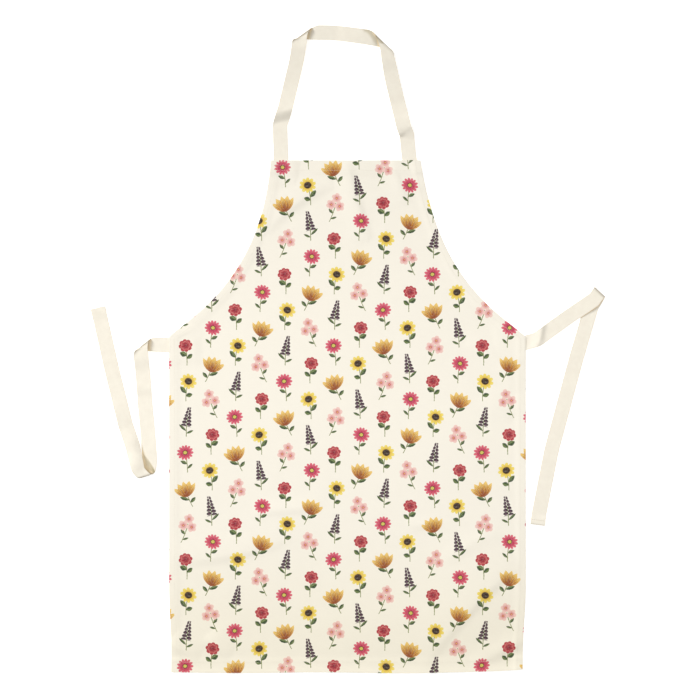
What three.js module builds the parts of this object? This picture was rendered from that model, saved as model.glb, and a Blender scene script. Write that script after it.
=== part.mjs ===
// A bib apron of printed cotton, laid out flat and face up: a body panel with turned hems,
// a neck strap and two waist ties of cotton tape. All sizes are in millimetres.
import * as THREE from "three";

// Driving sizes. The layout is measured from the middle of the foot hem, on the surface below.
const BODY_LENGTH = 891;
const WAIST_HEIGHT = 584;
const BIB_WIDTH = 260;
const WAIST_WIDTH = 620;
const FOOT_WIDTH = 612;
const FOOT_TAPER_HEIGHT = 150;
const CLOTH_THICKNESS = 1;
const HEM_THICKNESS = 2;
const HEM_WIDTH = 12;
const HEM_STEP = 4;
const GRID_PITCH = 18;
const TAPE_WIDTH = 25.4;
const TAPE_THICKNESS = 1;
const FOLD_RADIUS = 1.5;
const FOLD_STEPS = 6;
const BEND_REACH = 16;
const BEND_STEPS = 4;
const SECTION_PITCH = 24;
const SEAT_GAP = 0.3;
const SEAT_MARGIN = 24;
const SEAT_SLOPE = 30;
const CURVE_STEPS = 200;
const FOLD_SAMPLES = 24;
const DEGREE = Math.PI / 180;

// The armhole curve: how far its ends lean from straight up and down, and how far each end pulls.
const ARMHOLE = { bibLean: 6.6, bibReach: 211, waistLean: 48, waistReach: 60 };

// The main folds of the cloth: a ridge along a bowed line, with its height and its half width.
const CLOTH_FOLDS = [
  { name: "bib middle", fromX: 7, fromY: 880, viaX: 11, viaY: 834, toX: 31, toY: 752, rise: 2.5, reach: 22 },
  { name: "bib left", fromX: -30, fromY: 848, viaX: -88, viaY: 813, toX: -134, toY: 768, rise: 3, reach: 24 },
  { name: "waist right", fromX: 205, fromY: 572, viaX: 280, viaY: 548, toX: 287, toY: 488, rise: 3, reach: 24 },
  { name: "skirt left", fromX: -304, fromY: 196, viaX: -205, viaY: 196, toX: -96, toY: 236, rise: 4, reach: 26 },
  { name: "skirt right", fromX: 298, fromY: 194, viaX: 204, viaY: 140, toX: 124, toY: 24, rise: 5, reach: 28 },
  { name: "foot right", fromX: 196, fromY: 22, viaX: 272, viaY: 30, toX: 298, toY: 62, rise: 3, reach: 22 },
  { name: "foot left", fromX: -300, fromY: 62, viaX: -288, viaY: 38, toX: -262, toY: 16, rise: 3, reach: 22 },
];

// The tapes' routes. A row is a point on the tape's middle line, with the height of its underside.
// A turn folds the tape over or under itself, and hold is how far the layers then stay apart.
// Roll tips the tape about its own length, in degrees.
const NECK_STRAP = [
  { at: "left end, sewn behind the bib", x: -115, y: 872, lift: 0 },
  { at: "left bib edge", x: -115.6, y: 902, lift: 0 },
  { at: "left kink", x: -117, y: 956, lift: 2, roll: -7 },
  { at: "left fold", x: -78.6, y: 1110.3, lift: 3, turn: "under", hold: 34 },
  { at: "nape, left part", x: -39, y: 1113.8, lift: 0 },
  { at: "nape, right part", x: 25.4, y: 1106.5, lift: 0 },
  { at: "right fold", x: 64.2, y: 1095.7, lift: 0, turn: "over", hold: 34 },
  { at: "right kink", x: 101.3, y: 940.5, lift: 2, roll: -7 },
  { at: "right bib edge", x: 106.6, y: 902, lift: 0 },
  { at: "right end, sewn behind the bib", x: 110.7, y: 872, lift: 0 },
];
const TIE_LEFT = [
  { at: "end sewn behind the waist", x: -290, y: 569.3, lift: 0 },
  { at: "waist edge", x: -318, y: 569.2, lift: 0 },
  { at: "upper fold", x: -360.5, y: 569, lift: 0, turn: "over", hold: 34 },
  { at: "inner length", x: -346.6, y: 418.5, lift: 0 },
  { at: "lower fold", x: -350.4, y: 346.3, lift: 0, turn: "over", hold: 60 },
  { at: "outer length, low", x: -382, y: 418, lift: 2.5 },
  { at: "outer length, middle", x: -407.5, y: 517.7, lift: 0 },
  { at: "free end", x: -433.6, y: 632.5, lift: 0 },
];
const TIE_RIGHT = [
  { at: "end sewn behind the waist", x: 288, y: 570, lift: 0 },
  { at: "waist edge", x: 317, y: 575.8, lift: 0 },
  { at: "kink", x: 340, y: 584, lift: 3, roll: 10 },
  { at: "upper length", x: 392, y: 626, lift: 2 },
  { at: "fold", x: 436, y: 658.6, lift: 3, turn: "under", hold: 34 },
  { at: "lower length, high", x: 396.7, y: 543.8, lift: 0 },
  { at: "lower length, low", x: 356.4, y: 387.2, lift: 0 },
  { at: "free end", x: 330.9, y: 258, lift: 0 },
];
const TAPES = { neck_strap: NECK_STRAP, tie_left: TIE_LEFT, tie_right: TIE_RIGHT };

// Colours of the plain cloth and of the tape.
const CLOTH_COLOUR = new THREE.Color(0.92, 0.88, 0.79);
const TAPE_COLOUR = new THREE.Color(0.93, 0.9, 0.82);
const CLOTH_ROUGHNESS = 0.9;

const clampUnit = (value) => Math.min(1, Math.max(0, value));
const ease = (value) => clampUnit(value) ** 2 * (3 - 2 * clampUnit(value));

// A closed mesh from its corner points and triangles, turned to face outwards.
function closedMesh(name, points, triangles, colour) {
  const [a, b, c] = [new THREE.Vector3(), new THREE.Vector3(), new THREE.Vector3()];
  let volume = 0;
  for (const [i, j, k] of triangles) {
    volume += a.copy(points[i]).dot(b.copy(points[j]).cross(c.copy(points[k])));
  }
  const outward = volume > 0 ? triangles : triangles.map(([i, j, k]) => [i, k, j]);
  const geometry = new THREE.BufferGeometry().setFromPoints(points);
  geometry.setIndex(outward.flat());
  geometry.computeVertexNormals();
  const material = new THREE.MeshStandardMaterial({ color: colour, roughness: CLOTH_ROUGHNESS });
  const mesh = new THREE.Mesh(geometry, material);
  mesh.name = name;
  return mesh;
}

// Outline of the body: half its width at a height above the foot.
const armholeCurve = new THREE.CubicBezierCurve(
  new THREE.Vector2(BIB_WIDTH / 2, BODY_LENGTH),
  new THREE.Vector2(
    BIB_WIDTH / 2 + ARMHOLE.bibReach * Math.sin(ARMHOLE.bibLean * DEGREE),
    BODY_LENGTH - ARMHOLE.bibReach * Math.cos(ARMHOLE.bibLean * DEGREE),
  ),
  new THREE.Vector2(
    WAIST_WIDTH / 2 - ARMHOLE.waistReach * Math.sin(ARMHOLE.waistLean * DEGREE),
    WAIST_HEIGHT + ARMHOLE.waistReach * Math.cos(ARMHOLE.waistLean * DEGREE),
  ),
  new THREE.Vector2(WAIST_WIDTH / 2, WAIST_HEIGHT),
);
const armholePoints = armholeCurve.getPoints(CURVE_STEPS);

function halfWidth(y) {
  if (y <= WAIST_HEIGHT) {
    const taper = (WAIST_WIDTH - FOOT_WIDTH) / 2;
    return WAIST_WIDTH / 2 - taper * Math.max(0, 1 - y / FOOT_TAPER_HEIGHT) ** 2;
  }
  const next = armholePoints.findIndex((point) => point.y <= y);
  if (next < 1) return BIB_WIDTH / 2;
  const [above, below] = [armholePoints[next - 1], armholePoints[next]];
  return THREE.MathUtils.mapLinear(y, above.y, below.y, above.x, below.x);
}

// Heights of the cloth's underside: its folds, and the seats over the tapes' sewn ends.
const foldLines = CLOTH_FOLDS.map((fold) => ({
  ...fold,
  line: new THREE.QuadraticBezierCurve(
    new THREE.Vector2(fold.fromX, fold.fromY),
    new THREE.Vector2(fold.viaX, fold.viaY),
    new THREE.Vector2(fold.toX, fold.toY),
  ).getPoints(FOLD_SAMPLES),
}));

function foldHeight(fold, x, y) {
  let nearest = Infinity;
  let along = 0;
  fold.line.forEach((point, index) => {
    const distance = Math.hypot(point.x - x, point.y - y);
    if (distance < nearest) [nearest, along] = [distance, index / FOLD_SAMPLES];
  });
  const across = Math.cos((Math.PI / 2) * clampUnit(nearest / fold.reach)) ** 2;
  return fold.rise * across * Math.sqrt(Math.sin(Math.PI * along));
}

const sewnEnds = [NECK_STRAP[0], NECK_STRAP.at(-1), TIE_LEFT[0], TIE_RIGHT[0]];

function seatHeight(x, y) {
  const plateau = TAPE_WIDTH / 2 + SEAT_MARGIN;
  const slopes = sewnEnds.map((end) => {
    const beyond = Math.max(Math.abs(x - end.x), Math.abs(y - end.y)) - plateau;
    return 1 - ease(beyond / SEAT_SLOPE);
  });
  return (TAPE_THICKNESS + SEAT_GAP) * Math.max(...slopes);
}

function underside(x, y) {
  const folds = foldLines.reduce((height, fold) => Math.max(height, foldHeight(fold, x, y)), 0);
  return Math.max(folds, seatHeight(x, y));
}

// Stations from one value to another, about a grid pitch apart, without the last.
function stations(from, to) {
  const count = Math.max(1, Math.round((to - from) / GRID_PITCH));
  return Array.from({ length: count }, (unused, index) => from + ((to - from) * index) / count);
}

// The body panel: a grid in rows from foot to bib, thicker along the turned hems.
function apronBody() {
  const inner = HEM_WIDTH + HEM_STEP;
  const heights = [
    0,
    HEM_WIDTH,
    ...stations(inner, WAIST_HEIGHT),
    ...stations(WAIST_HEIGHT, BODY_LENGTH - inner),
    BODY_LENGTH - inner,
    BODY_LENGTH - HEM_WIDTH,
    BODY_LENGTH,
  ];
  const columns = Math.round((WAIST_WIDTH - 2 * inner) / GRID_PITCH);
  const points = [];
  const thickness = [];
  heights.forEach((y, row) => {
    const half = halfWidth(y);
    const slope = (halfWidth(Math.min(y + 1, BODY_LENGTH)) - halfWidth(Math.max(y - 1, 0))) / 2;
    const slant = Math.hypot(1, slope);
    const middle = half - inner * slant;
    const across = Array.from({ length: columns + 1 }, (unused, index) => middle * ((2 * index) / columns - 1));
    const xs = [-half, -half + HEM_WIDTH * slant, ...across, half - HEM_WIDTH * slant, half];
    const endRow = row < 2 || row > heights.length - 3;
    xs.forEach((x, column) => {
      const hem = endRow || column < 2 || column > xs.length - 3;
      points.push(new THREE.Vector3(x, y, underside(x, y)));
      thickness.push(hem ? HEM_THICKNESS : CLOTH_THICKNESS);
    });
  });
  const rows = heights.length;
  const width = columns + 5;
  const top = points.length;
  points.push(...points.map((point, index) => point.clone().setZ(point.z + thickness[index])));
  const triangles = [];
  for (let row = 0; row + 1 < rows; row += 1) {
    for (let column = 0; column + 1 < width; column += 1) {
      const a = row * width + column;
      const [b, c, d] = [a + 1, a + width + 1, a + width];
      triangles.push([a, c, b], [a, d, c], [top + a, top + b, top + c], [top + a, top + c, top + d]);
    }
  }
  const rim = [];
  for (let column = 0; column < width; column += 1) rim.push(column);
  for (let row = 1; row < rows; row += 1) rim.push(row * width + width - 1);
  for (let column = width - 2; column >= 0; column -= 1) rim.push((rows - 1) * width + column);
  for (let row = rows - 2; row > 0; row -= 1) rim.push(row * width);
  rim.forEach((a, index) => {
    const b = rim[(index + 1) % rim.length];
    triangles.push([a, b, top + b], [a, top + b, top + a]);
  });
  return closedMesh("apron_body", points, triangles, CLOTH_COLOUR);
}

// One length of flat tape along its route: straight runs, soft bends, and turns folded flat.
function tape(name, route) {
  const up = new THREE.Vector3(0, 0, 1);
  const sections = [];
  let face = 1;

  const heading = (from, to) => new THREE.Vector3(to.x - from.x, to.y - from.y, 0).normalize();
  const section = (x, y, lift, roll, direction) => {
    const tip = roll * DEGREE;
    const side = new THREE.Vector3().crossVectors(up, direction).multiplyScalar(face);
    const level = lift + TAPE_THICKNESS / 2 + (TAPE_WIDTH / 2) * Math.abs(Math.sin(tip));
    const lateral = side.clone().multiplyScalar(Math.cos(tip)).addScaledVector(up, Math.sin(tip));
    const normal = up.clone().multiplyScalar(Math.cos(tip)).addScaledVector(side, -Math.sin(tip));
    const middle = new THREE.Vector3(x, y, level);
    sections.push({ middle, lateral: lateral.multiplyScalar(TAPE_WIDTH / 2), normal: normal.multiplyScalar(face) });
  };
  const run = (from, to, direction) => {
    const length = Math.hypot(to.x - from.x, to.y - from.y);
    const count = Math.max(1, Math.round(length / SECTION_PITCH));
    for (let index = 1; index < count; index += 1) {
      const share = index / count;
      const blend = (key) => THREE.MathUtils.lerp(from[key], to[key], ease(share));
      const x = THREE.MathUtils.lerp(from.x, to.x, share);
      const y = THREE.MathUtils.lerp(from.y, to.y, share);
      section(x, y, blend("lift"), blend("roll"), direction);
    }
  };
  const bend = (row, start, end) => {
    for (let index = 0; index <= BEND_STEPS; index += 1) {
      const share = index / BEND_STEPS;
      const x = (1 - share) ** 2 * start.x + 2 * share * (1 - share) * row.x + share ** 2 * end.x;
      const y = (1 - share) ** 2 * start.y + 2 * share * (1 - share) * row.y + share ** 2 * end.y;
      const direction = heading(start, row).lerp(heading(row, end), share).normalize();
      section(x, y, row.lift, row.roll ?? 0, direction);
    }
  };
  const turn = (row, before, after, level) => {
    const along = before.clone().add(after).normalize();
    const side = new THREE.Vector3().crossVectors(up, before).multiplyScalar(face);
    const lateral = along.clone().multiplyScalar(TAPE_WIDTH / 2 / along.dot(side));
    const outward = before.clone().sub(after).normalize();
    const climb = row.turn === "over" ? 1 : -1;
    for (let index = 0; index <= FOLD_STEPS; index += 1) {
      const angle = (Math.PI * index) / FOLD_STEPS;
      const middle = new THREE.Vector3(row.x, row.y, level + TAPE_THICKNESS / 2)
        .addScaledVector(outward, FOLD_RADIUS * Math.sin(angle))
        .addScaledVector(up, climb * FOLD_RADIUS * (1 - Math.cos(angle)));
      const normal = up.clone().multiplyScalar(Math.cos(angle)).addScaledVector(outward, -climb * Math.sin(angle));
      sections.push({ middle, lateral: lateral.clone(), normal: normal.multiplyScalar(face) });
    }
    face = -face;
  };

  const shift = (row, direction, distance, lift, roll) => ({
    x: row.x + direction.x * distance,
    y: row.y + direction.y * distance,
    lift,
    roll,
  });
  const last = route.length - 1;
  let leaving = { ...route[0], roll: 0 };
  section(route[0].x, route[0].y, route[0].lift, 0, heading(route[0], route[1]));
  for (let index = 1; index < last; index += 1) {
    const row = route[index];
    const before = heading(route[index - 1], row);
    const after = heading(row, route[index + 1]);
    if (row.turn) {
      const outLift = row.lift + (row.turn === "over" ? 2 : -2) * FOLD_RADIUS;
      const held = shift(row, before, -row.hold, row.lift, 0);
      run(leaving, held, before);
      section(held.x, held.y, held.lift, 0, before);
      turn(row, before, after, row.lift);
      leaving = shift(row, after, row.hold, outLift, 0);
      section(leaving.x, leaving.y, outLift, 0, after);
    } else {
      const start = shift(row, before, -BEND_REACH, row.lift, row.roll ?? 0);
      const end = shift(row, after, BEND_REACH, row.lift, row.roll ?? 0);
      run(leaving, start, before);
      bend(row, start, end);
      leaving = end;
    }
  }
  const closing = heading(route[last - 1], route[last]);
  run(leaving, { ...route[last], roll: 0 }, closing);
  section(route[last].x, route[last].y, route[last].lift, 0, closing);

  const points = sections.flatMap(({ middle, lateral, normal }) => {
    const half = normal.clone().multiplyScalar(TAPE_THICKNESS / 2);
    const [left, right] = [middle.clone().add(lateral), middle.clone().sub(lateral)];
    return [left.clone().add(half), right.clone().add(half), right.clone().sub(half), left.clone().sub(half)];
  });
  const triangles = [];
  for (let index = 0; index + 1 < sections.length; index += 1) {
    for (let corner = 0; corner < 4; corner += 1) {
      const [a, b] = [4 * index + corner, 4 * index + ((corner + 1) % 4)];
      triangles.push([a, b, b + 4], [a, b + 4, a + 4]);
    }
  }
  const end = points.length - 4;
  triangles.push([0, 2, 1], [0, 3, 2], [end, end + 1, end + 2], [end, end + 2, end + 3]);
  return closedMesh(name, points, triangles, TAPE_COLOUR);
}

// The apron as laid, moved so that its origin is the middle of its outline, on the surface.
const apron = new THREE.Group();
apron.name = "apron";
apron.add(apronBody());
for (const [name, route] of Object.entries(TAPES)) apron.add(tape(name, route));
const outline = new THREE.Box3().setFromObject(apron);
const centre = outline.getCenter(new THREE.Vector3());
apron.position.set(-centre.x, -centre.y, -outline.min.z);

export default apron;
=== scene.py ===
# A bib apron of printed cotton laid flat and face up, with a neck strap and two waist ties of cotton tape.
# Metres, in the frame of the solids: +Y runs from the foot hem to the neck strap and +Z is up off the table.
import math

import bpy
import numpy as np
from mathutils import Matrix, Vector, noise
from mathutils.bvhtree import BVHTree


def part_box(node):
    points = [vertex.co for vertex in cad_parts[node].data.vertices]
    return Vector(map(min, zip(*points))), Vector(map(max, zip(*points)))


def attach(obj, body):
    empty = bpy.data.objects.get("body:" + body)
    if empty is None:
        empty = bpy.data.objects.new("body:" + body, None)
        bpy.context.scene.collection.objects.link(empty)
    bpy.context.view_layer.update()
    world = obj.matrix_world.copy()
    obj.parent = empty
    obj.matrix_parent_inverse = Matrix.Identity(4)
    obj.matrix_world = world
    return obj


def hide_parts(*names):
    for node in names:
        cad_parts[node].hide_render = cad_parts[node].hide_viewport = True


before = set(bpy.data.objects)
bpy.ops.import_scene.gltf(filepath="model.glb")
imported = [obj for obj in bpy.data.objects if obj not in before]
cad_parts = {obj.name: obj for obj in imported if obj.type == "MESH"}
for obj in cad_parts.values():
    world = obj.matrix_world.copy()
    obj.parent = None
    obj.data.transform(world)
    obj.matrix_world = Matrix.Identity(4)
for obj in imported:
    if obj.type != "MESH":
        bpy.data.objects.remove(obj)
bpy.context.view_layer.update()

# The table, the light and the camera. The apron lies on a white studio table under a wide soft panel, with
# another far beyond its upper left corner that rakes across the folds. The camera looks straight down.
MM = 0.001
TABLE_SIZE = 24
TABLE_GAP = 0.4 * MM
TABLE_WHITE = (0.96, 0.96, 0.955, 1)
TABLE_GLOW = 0.42
OVERHEAD_PANEL = {"place": (0, -0.12, 1.25), "target": (0, -0.12, 0), "size": (3.2, 0.8), "watts": 16.6}
RAKING_PANEL = {"place": (-7.2, 6.1, 5.3), "target": (0, 0, 0), "size": (3, 3), "watts": 1060}
SKY_STRENGTH = 0.2
WHITE = (1, 1, 1, 1)
FRAME_WIDTH = 1.218
FRAME_CENTRE = (0.0036, -0.0019)
LENS = 85
SENSOR = 36


def deselect():
    bpy.ops.object.select_all(action="DESELECT")


deselect()
bpy.ops.mesh.primitive_plane_add(size=TABLE_SIZE, location=(0, 0, -TABLE_GAP))
table = bpy.context.object
table.name = "table_top"
table_paint = bpy.data.materials.new("table_paint")
table_paint.use_nodes = True
table_surface = table_paint.node_tree.nodes["Principled BSDF"]
table_surface.inputs["Base Color"].default_value = TABLE_WHITE
table_surface.inputs["Roughness"].default_value = 0.9
table_surface.inputs["Specular IOR Level"].default_value = 0.1
table_surface.inputs["Emission Color"].default_value = WHITE
table_surface.inputs["Emission Strength"].default_value = TABLE_GLOW
table.data.materials.append(table_paint)


def soft_panel(name, place, target, size, watts):
    """A light panel at a place, turned to face a point on the apron."""
    panel = bpy.data.lights.new(name, "AREA")
    panel.shape = "RECTANGLE"
    panel.size, panel.size_y = size
    panel.energy = watts
    lamp = bpy.data.objects.new(name, panel)
    bpy.context.collection.objects.link(lamp)
    lamp.location = place
    lamp.rotation_euler = (Vector(target) - Vector(place)).to_track_quat("-Z", "Y").to_euler()


soft_panel("overhead_panel", **OVERHEAD_PANEL)
soft_panel("raking_panel", **RAKING_PANEL)
sky = bpy.data.worlds.new("studio_sky")
sky.use_nodes = True
sky.node_tree.nodes["Background"].inputs["Color"].default_value = WHITE
sky.node_tree.nodes["Background"].inputs["Strength"].default_value = SKY_STRENGTH
bpy.context.scene.world = sky
bpy.context.scene.view_settings.view_transform = "Standard"

camera = bpy.data.cameras.new("overhead_camera")
camera.lens = LENS
camera.sensor_width = SENSOR
eye = bpy.data.objects.new("overhead_camera", camera)
bpy.context.collection.objects.link(eye)
eye.location = (*FRAME_CENTRE, FRAME_WIDTH * LENS / SENSOR)
bpy.context.scene.camera = eye

# The body panel: one sheet of plain-woven cotton, cut to the apron's outline. Its edges are turned under
# and sewn down, so the printed face shows on the back of each hem, and it lies in a few soft creases.
body_low, body_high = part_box("apron_body")
MIDDLE = (body_low.x + body_high.x) / 2
FOOT = body_low.y
BODY_LENGTH = body_high.y - body_low.y
HALF_WAIST = (body_high.x - body_low.x) / 2
WAIST_HEIGHT = 584 * MM
HALF_BIB = 130 * MM
FOOT_TAPER = 3.8 * MM
FOOT_TAPER_HEIGHT = 150 * MM
FOOT_TAPER_RUN = 110 * MM
BIB_ASIDE = -3 * MM
BIB_ASIDE_HEIGHT = 740 * MM
CORNER_DRAW = (-2.2 * MM, 6 * MM)
CORNER_HEIGHT = 160 * MM
CORNER_POWER = 5.5
FOOT_WAVE = 0.7 * MM
FOOT_WAVE_MEAN = 0.6
FOOT_WAVE_AT = -51 * MM
FOOT_WAVE_LENGTH = 281 * MM
FOOT_CURL = (1.5 * MM, 2.3 * MM)
FOOT_CURL_RUN = 22 * MM
ARMHOLE_BIB = {"lean": math.radians(6.6), "reach": 211 * MM}
ARMHOLE_WAIST = {"lean": math.radians(48), "reach": 60 * MM}
ARMHOLE_POINTS = 240
CLOTH = 0.5 * MM
LAYER = 0.56 * MM
SIDE_HEM = 12 * MM
END_HEM = 20 * MM
HEM_SLOPE = 7 * MM
STITCH_INSET = 2.5 * MM
GRID = 4 * MM
WAVES_A_METRE = 7
WAVE_RISE = 0.55 * MM
WAVE_DIP = -0.5
WAVE_MEAN = 0.4 * MM
WAVE_SLICE = 3.1
CRUMPLES_A_METRE = (38, 31)
CRUMPLE_RISE = 0.12 * MM
CRUMPLE_SLICE = 8.7
TAPE_WIDTH = 25.4 * MM

# The creases, in millimetres from the middle of the foot hem: a ridge along a bowed line, its height, and
# how far it falls away on its left and on its right, going from its start to its end.
CREASES = [
    {"start": (1, 888), "bow": (9, 826), "end": (38, 750), "rise": 2.3, "left": 9, "right": 26},
    {"start": (-22, 848), "bow": (-84, 834), "end": (-146, 764), "rise": 2.0, "left": 9, "right": 34},
    {"start": (82, 884), "bow": (90, 857), "end": (104, 814), "rise": 1.6, "left": 8, "right": 16},
    {"start": (205, 572), "bow": (280, 548), "end": (287, 488), "rise": 1.5, "left": 20, "right": 9},
    {"start": (234, 482), "bow": (260, 466), "end": (286, 440), "rise": 1.2, "left": 16, "right": 9},
    {"start": (-306, 196), "bow": (-205, 194), "end": (-96, 236), "rise": 1.6, "left": 40, "right": 9},
    {"start": (-166, 280), "bow": (-104, 280), "end": (-42, 291), "rise": 1.1, "left": 15, "right": 7},
    {"start": (300, 190), "bow": (228, 138), "end": (126, 6), "rise": 1.8, "left": 9, "right": 60},
    {"start": (340, 226), "bow": (226, 158), "end": (98, -30), "rise": 1.8, "left": 74, "right": 140},
    {"start": (104, 260), "bow": (135, 253), "end": (163, 256), "rise": 1.0, "left": 12, "right": 8},
    {"start": (160, 188), "bow": (208, 224), "end": (268, 246), "rise": 0.8, "left": 14, "right": 10},
    {"start": (214, 18), "bow": (276, 30), "end": (306, 58), "rise": 1.8, "left": 18, "right": 9},
    {"start": (-308, 54), "bow": (-290, 40), "end": (-258, 24), "rise": 1.5, "left": 30, "right": 7},
    {"start": (-248, 62), "bow": (-236, 46), "end": (-204, 28), "rise": 1.3, "left": 30, "right": 7},
]
CREASE_POINTS = 49
CREASE_TAPER = 0.6
SEATS = [(-115, 872), (110.7, 872), (-290, 569.3), (288, 570)]
SEAT_LIFT = 1.3 * MM
SEAT_MARGIN = 9 * MM
SEAT_SLOPE = 22 * MM


def ease(value):
    """Smooth step from 0 to 1."""
    value = np.clip(value, 0, 1)
    return value * value * (3 - 2 * value)


def bowed(start, bow, end, share):
    """Points on a quadratic curve."""
    start, bow, end = (np.array(point, float) for point in (start, bow, end))
    share = share[:, None]
    return (1 - share) ** 2 * start + 2 * share * (1 - share) * bow + share**2 * end


def armhole_line():
    """The armhole edge from the waist corner up to the bib corner, as heights and half widths."""
    share = np.linspace(0, 1, ARMHOLE_POINTS)[:, None]
    waist = np.array((HALF_WAIST, WAIST_HEIGHT))
    bib = np.array((HALF_BIB, BODY_LENGTH))
    lean, reach = ARMHOLE_WAIST["lean"], ARMHOLE_WAIST["reach"]
    waist_pull = waist + reach * np.array((-math.sin(lean), math.cos(lean)))
    lean, reach = ARMHOLE_BIB["lean"], ARMHOLE_BIB["reach"]
    bib_pull = bib + reach * np.array((math.sin(lean), -math.cos(lean)))
    line = (1 - share) ** 3 * waist + 3 * (1 - share) ** 2 * share * waist_pull
    line = line + 3 * (1 - share) * share**2 * bib_pull + share**3 * bib
    return line[:, 1], line[:, 0]


ARMHOLE_HEIGHTS, ARMHOLE_WIDTHS = armhole_line()


def half_width(height):
    """Half the body's width at a height above the foot hem."""
    side = HALF_WAIST - FOOT_TAPER * ease((FOOT_TAPER_HEIGHT - height) / FOOT_TAPER_RUN)
    return np.where(height <= WAIST_HEIGHT, side, np.interp(height, ARMHOLE_HEIGHTS, ARMHOLE_WIDTHS))


def edge_slant(height):
    """How much longer a level line across the edge is than a square one."""
    step = 4 * MM
    low, high = np.maximum(height - step, 0), np.minimum(height + step, BODY_LENGTH)
    return np.hypot(1, (half_width(high) - half_width(low)) / (high - low))


def crease_height(x, y):
    """Height of the cloth in its creases."""
    height = np.zeros_like(x)
    share = np.linspace(0, 1, CREASE_POINTS)
    for crease in CREASES:
        line = bowed(crease["start"], crease["bow"], crease["end"], share) * MM
        away = (x[..., None] - line[:, 0]) ** 2 + (y[..., None] - line[:, 1]) ** 2
        nearest = away.argmin(axis=-1)
        run = np.gradient(line, axis=0)[nearest]
        offset_x, offset_y = x - line[nearest, 0], y - line[nearest, 1]
        on_left = run[..., 0] * offset_y - run[..., 1] * offset_x > 0
        width = np.where(on_left, crease["left"], crease["right"]) * MM
        taper = np.sin(math.pi * share[nearest]) ** CREASE_TAPER
        fall = np.exp(-np.hypot(offset_x, offset_y) ** 2 / width**2)
        height = height + crease["rise"] * MM * taper * fall
    return height


def seat_height(x, y):
    """Height of the cloth where it passes over the sewn ends of the tapes."""
    height = np.zeros_like(x)
    for seat_x, seat_y in SEATS:
        beyond = np.maximum(abs(x - seat_x * MM), abs(y - seat_y * MM)) - TAPE_WIDTH / 2 - SEAT_MARGIN
        height = np.maximum(height, SEAT_LIFT * (1 - ease(beyond / SEAT_SLOPE)))
    return height


def wave_height(x, y):
    """The slow waves and faint crumple of cloth that has been folded and pressed."""
    height = np.zeros(x.size)
    fine_x, fine_y = CRUMPLES_A_METRE
    for index, (px, py) in enumerate(zip(x.ravel(), y.ravel())):
        broad = noise.noise(Vector((px * WAVES_A_METRE, py * WAVES_A_METRE, WAVE_SLICE)))
        crumple = noise.noise(Vector((px * fine_x, py * fine_y, CRUMPLE_SLICE)))
        height[index] = WAVE_RISE * max(broad, WAVE_DIP) + CRUMPLE_RISE * crumple
    return height.reshape(x.shape) + WAVE_MEAN


def lay(x, y):
    """Height of the cloth's lowest layer above the table, at points given from the middle of the foot hem."""
    curl = np.interp(x, (-HALF_WAIST, HALF_WAIST), FOOT_CURL) * np.maximum(0, 1 - y / FOOT_CURL_RUN) ** 2
    return np.maximum(crease_height(x, y) + wave_height(x, y) + curl, seat_height(x, y))


def hem_steps(hem):
    """Stations across a turned hem: how far in from its edge, and round the turn from face 0 to back 1."""
    turn = 0.5 * LAYER
    behind = [(hem * share, 1.0) for share in (0.96, 0.75, 0.5, 0.25, 0.08)]
    angles = np.radians((140, 90, 40))
    round_edge = [(turn * (1 - math.sin(angle)), (1 - math.cos(angle)) / 2) for angle in angles]
    face = [(hem * share, 0.0) for share in (0.08, 0.25, 0.5, 0.7)]
    face += [(hem + step, 0.0) for step in (-STITCH_INSET, -0.3 * MM, 1.5 * MM, 3.5 * MM, HEM_SLOPE + 1 * MM)]
    return behind + round_edge + face


def hem_share(inset, hem):
    """1 over the turned hem, falling to 0 just inside it."""
    return 1 - ease((inset - hem) / HEM_SLOPE)


def settled(x, y, z):
    """Points in the frame: the bib lies a little aside, the foot waves, and its right corner is drawn in."""
    aside = BIB_ASIDE * np.maximum(0, (y - BIB_ASIDE_HEIGHT) / (BODY_LENGTH - BIB_ASIDE_HEIGHT)) ** 2
    low = np.maximum(0, 1 - y / CORNER_HEIGHT) ** 2
    drawn = np.maximum(0, x / HALF_WAIST) ** CORNER_POWER
    wave = FOOT_WAVE * (FOOT_WAVE_MEAN + np.cos(2 * np.pi * (x - FOOT_WAVE_AT) / FOOT_WAVE_LENGTH))
    across, up = CORNER_DRAW
    x = x + aside + across * drawn * low + MIDDLE
    y = y + (up * drawn + wave) * low + FOOT
    return np.stack([x, y, z], axis=-1)


def cloth_grid(name, columns, rows):
    """A flat grid with a vertex for each column and row, ready to be laid into shape."""
    deselect()
    bpy.ops.mesh.primitive_grid_add(x_subdivisions=columns - 1, y_subdivisions=rows - 1, size=1)
    sheet = bpy.context.object
    sheet.name = name
    sheet.data.name = name
    return sheet


def lay_out(sheet, points, flat, values=None):
    """Moves the grid's vertices to points[row, column], each with its place on the cut and its values."""
    rows, columns = points.shape[:2]
    start = np.empty(len(sheet.data.vertices) * 3)
    sheet.data.vertices.foreach_get("co", start)
    start = start.reshape(-1, 3)
    column = np.rint((start[:, 0] + 0.5) * (columns - 1)).astype(int)
    row = np.rint((start[:, 1] + 0.5) * (rows - 1)).astype(int)
    sheet.data.vertices.foreach_set("co", points[row, column].ravel())
    corner = np.empty(len(sheet.data.loops), int)
    sheet.data.loops.foreach_get("vertex_index", corner)
    cut = sheet.data.uv_layers.active
    cut.name = "cut"
    cut.data.foreach_set("uv", flat[row, column][corner].ravel())
    for key, value in (values or {}).items():
        sheet.data.attributes.new(key, "FLOAT", "POINT").data.foreach_set("value", value[row, column].ravel())
    sheet.data.update()


def apply_modifier(piece, kind, **settings):
    """Adds a modifier to a piece and applies it."""
    deselect()
    piece.select_set(True)
    bpy.context.view_layer.objects.active = piece
    modifier = piece.modifiers.new(kind.title(), kind)
    for key, value in settings.items():
        setattr(modifier, key, value)
    bpy.ops.object.modifier_apply(modifier=modifier.name)


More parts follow.
